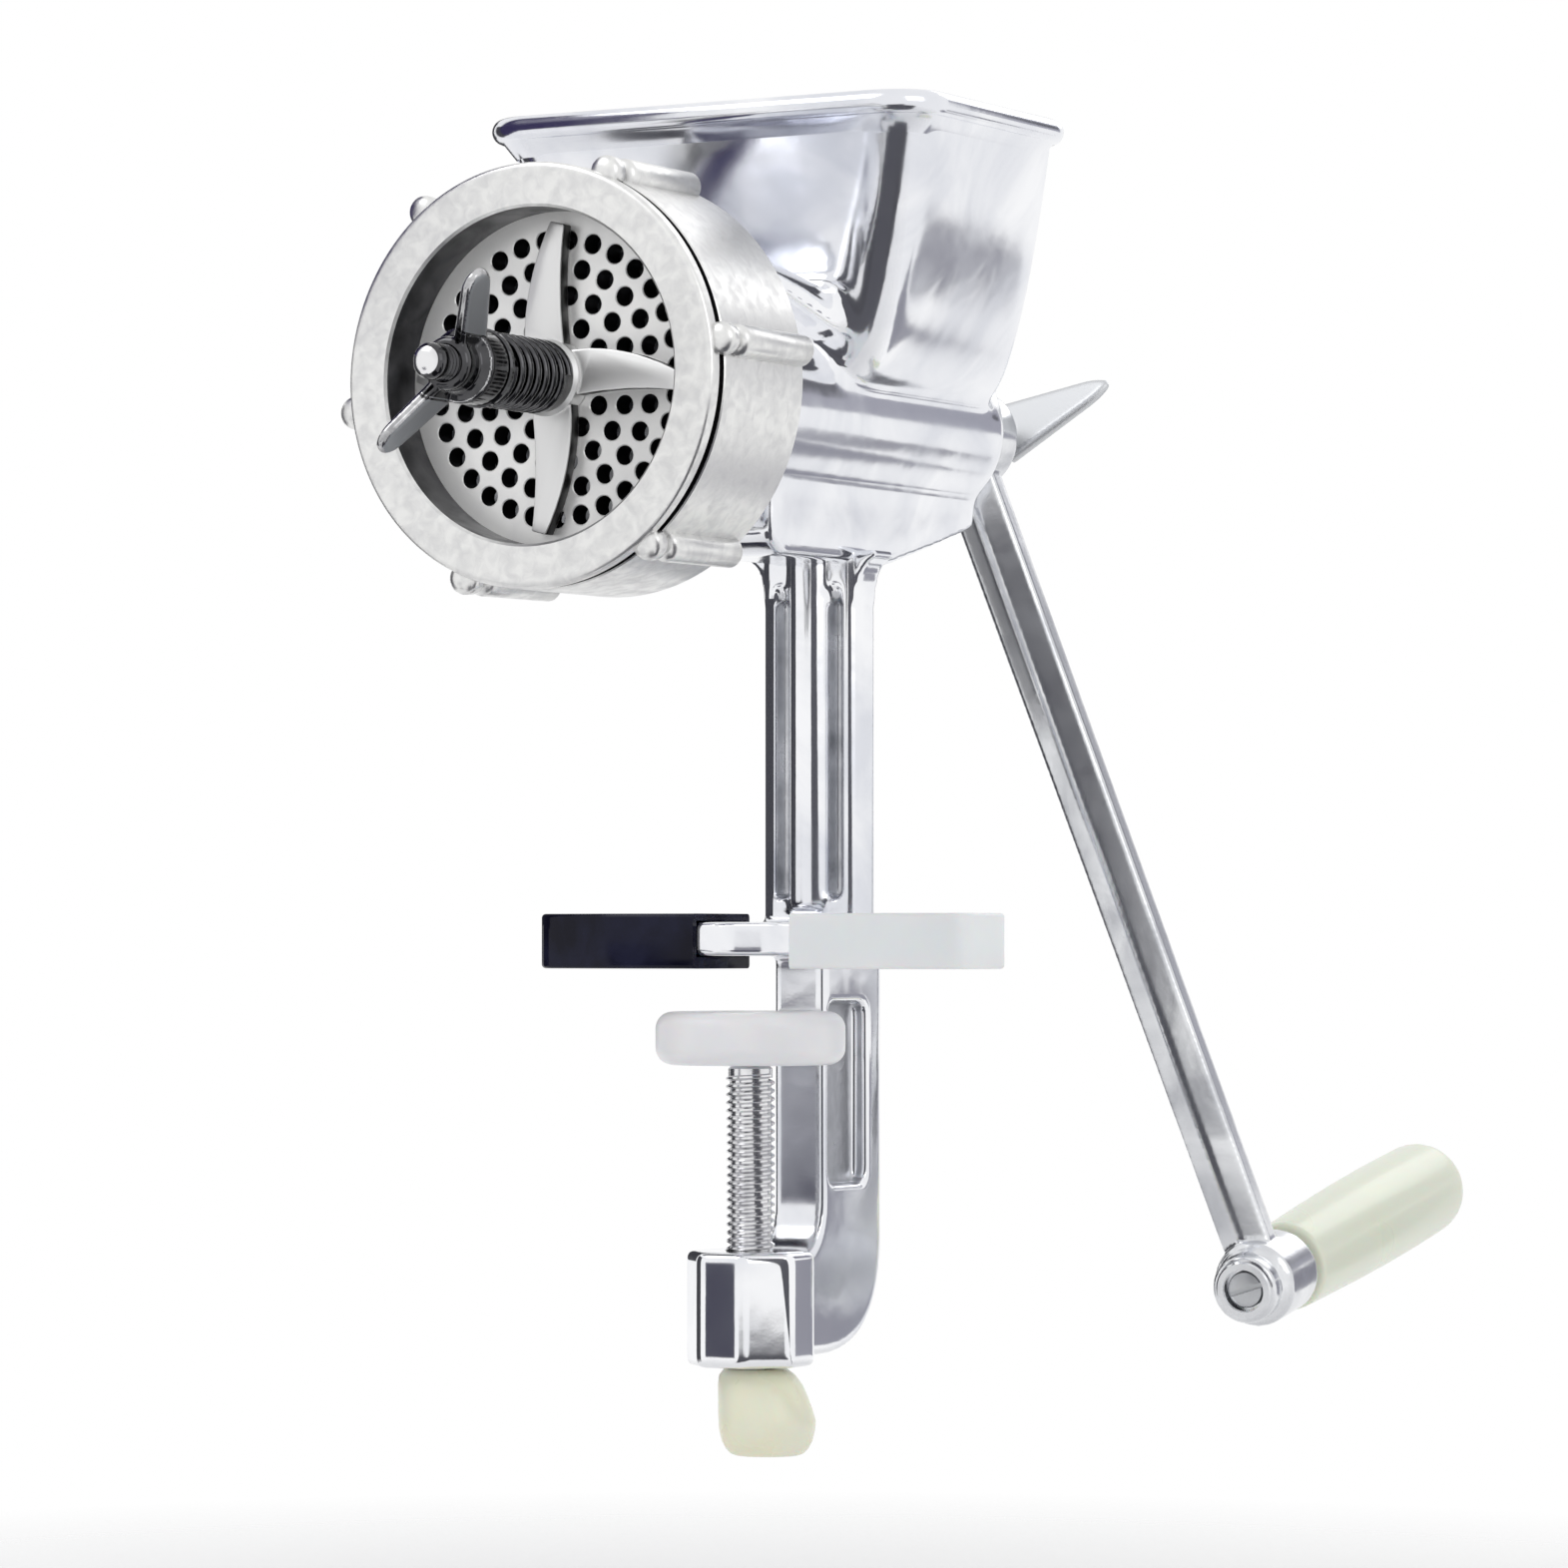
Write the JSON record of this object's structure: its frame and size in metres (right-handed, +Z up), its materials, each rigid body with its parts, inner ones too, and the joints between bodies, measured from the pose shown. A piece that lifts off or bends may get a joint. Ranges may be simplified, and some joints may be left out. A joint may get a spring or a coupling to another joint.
{
  "type": "hand crank meat grinder",
  "caption": "Bench-clamped hand crank meat grinder with a rectangular hopper, a ring nut over a holed die plate, a spring-loaded outside cutter and a long crank with a turning grip.",
  "frame": {"origin": "on the table plane, which is the underside of the two jaw pads, where the clamp screw's axis crosses it", "axes": "+Z up, -Y towards the outlet and its ring nut, +Y towards the crank, +X to the side that the crank hangs towards at rest"},
  "size_m": [0.1363, 0.4002, 0.3146],
  "materials": {
    "cast_aluminium": "polished die-cast aluminium alloy with soft casting ripple",
    "ring_satin": "satin sand-textured die casting with a bright machined edge",
    "plate_bright": "satin bright machined plate",
    "blade_steel": "ground stainless blades",
    "dark_steel": "dark polished steel",
    "plain_steel": "zinc-plated steel",
    "bronze": "plain sintered bronze",
    "pad_black": "gloss near-black soft plastic",
    "pad_white": "milky white soft plastic",
    "disc_white": "milky translucent white plastic",
    "grip_pale": "pale yellow-green translucent plastic",
    "knob_pale": "pale yellow translucent plastic"
  },
  "bodies": {
    "frame": {"body_casting": "cast_aluminium", "jaw_pad_right": "pad_white", "jaw_pad_left": "pad_black", "plate_key": "plain_steel", "rear_bush": "bronze", "thrust_washer": "bronze"},
    "plate": {"die_plate": "plate_bright", "plate_bush": "bronze"},
    "ring": {"ring_nut": "ring_satin"},
    "crank": {"auger": "cast_aluminium", "front_stud": "plain_steel", "cutter_spring": "dark_steel", "crank_arm": "cast_aluminium", "grip_bolt": "plain_steel", "grip_washer": "plain_steel"},
    "cutter": {"cutter": "blade_steel"},
    "nut_seat": {"nut_washer": "dark_steel"},
    "wing_nut": {"wing_nut": "dark_steel"},
    "grip": {"grip": "grip_pale", "grip_cap": "grip_pale"},
    "crank_seat": {"crank_washer": "plain_steel"},
    "wing_screw": {"wing_screw": "plain_steel"},
    "disc": {"clamp_disc": "disc_white"},
    "screw": {"clamp_screw": "plain_steel", "disc_retainer": "plain_steel", "clamp_knob": "knob_pale", "knob_pin": "plain_steel"}
  },
  "joints": [
    {"name": "crank_turn", "type": "hinge", "parent": "frame", "child": "crank", "pos_m": [0, 0.0833, 0.132], "axis": [0, 1, 0], "continuous": true},
    {"name": "grip_turn", "type": "hinge", "parent": "crank", "child": "grip", "pos_m": [0.06491, 0.14229, -0.07768], "axis": [-0.0529, 0.9839, 0.1708], "continuous": true},
    {"name": "plate_lift", "type": "slide", "parent": "frame", "child": "plate", "axis": [0, -1, 0], "range_m": [0, 0.006], "deforming": ["cutter_spring"]},
    {"name": "ring_turn", "type": "hinge", "parent": "plate", "child": "ring", "pos_m": [0, -0.079, 0.132], "axis": [0, -1, 0], "range_deg": [0, 720]},
    {"name": "cutter_lift", "type": "slide", "parent": "crank", "child": "cutter", "axis": [0, -1, 0], "range_m": [0, 0.006]},
    {"name": "nut_travel", "type": "slide", "parent": "crank", "child": "nut_seat", "axis": [0, -1, 0], "range_m": [0, 0.004]},
    {"name": "wing_nut_turn", "type": "hinge", "parent": "nut_seat", "child": "wing_nut", "pos_m": [0, -0.126, 0.132], "axis": [0, -1, 0], "range_deg": [0, 1152]},
    {"name": "screw_travel", "type": "slide", "parent": "crank", "child": "crank_seat", "axis": [0, 1, 0], "range_m": [0, 0.015]},
    {"name": "wing_screw_turn", "type": "hinge", "parent": "crank_seat", "child": "wing_screw", "pos_m": [0, 0.12, 0.132], "axis": [0, 1, 0], "range_deg": [0, 5400]},
    {"name": "clamp_travel", "type": "slide", "parent": "frame", "child": "disc", "axis": [0, 0, -1], "range_m": [0, 0.04]},
    {"name": "clamp_screw_turn", "type": "hinge", "parent": "disc", "child": "screw", "pos_m": [0, 0, -0.06], "axis": [0, 0, -1], "range_deg": [0, 7579]}
  ],
  "couplings": [
    {"joint": "ring_turn", "follows": "plate_lift", "rad_per_m": 2094.4},
    {"joint": "cutter_lift", "follows": "plate_lift", "ratio": 1},
    {"joint": "wing_nut_turn", "follows": "nut_travel", "rad_per_m": 5026.5},
    {"joint": "wing_screw_turn", "follows": "screw_travel", "rad_per_m": 6283.2},
    {"joint": "clamp_screw_turn", "follows": "clamp_travel", "rad_per_m": 3306.9}
  ]
}
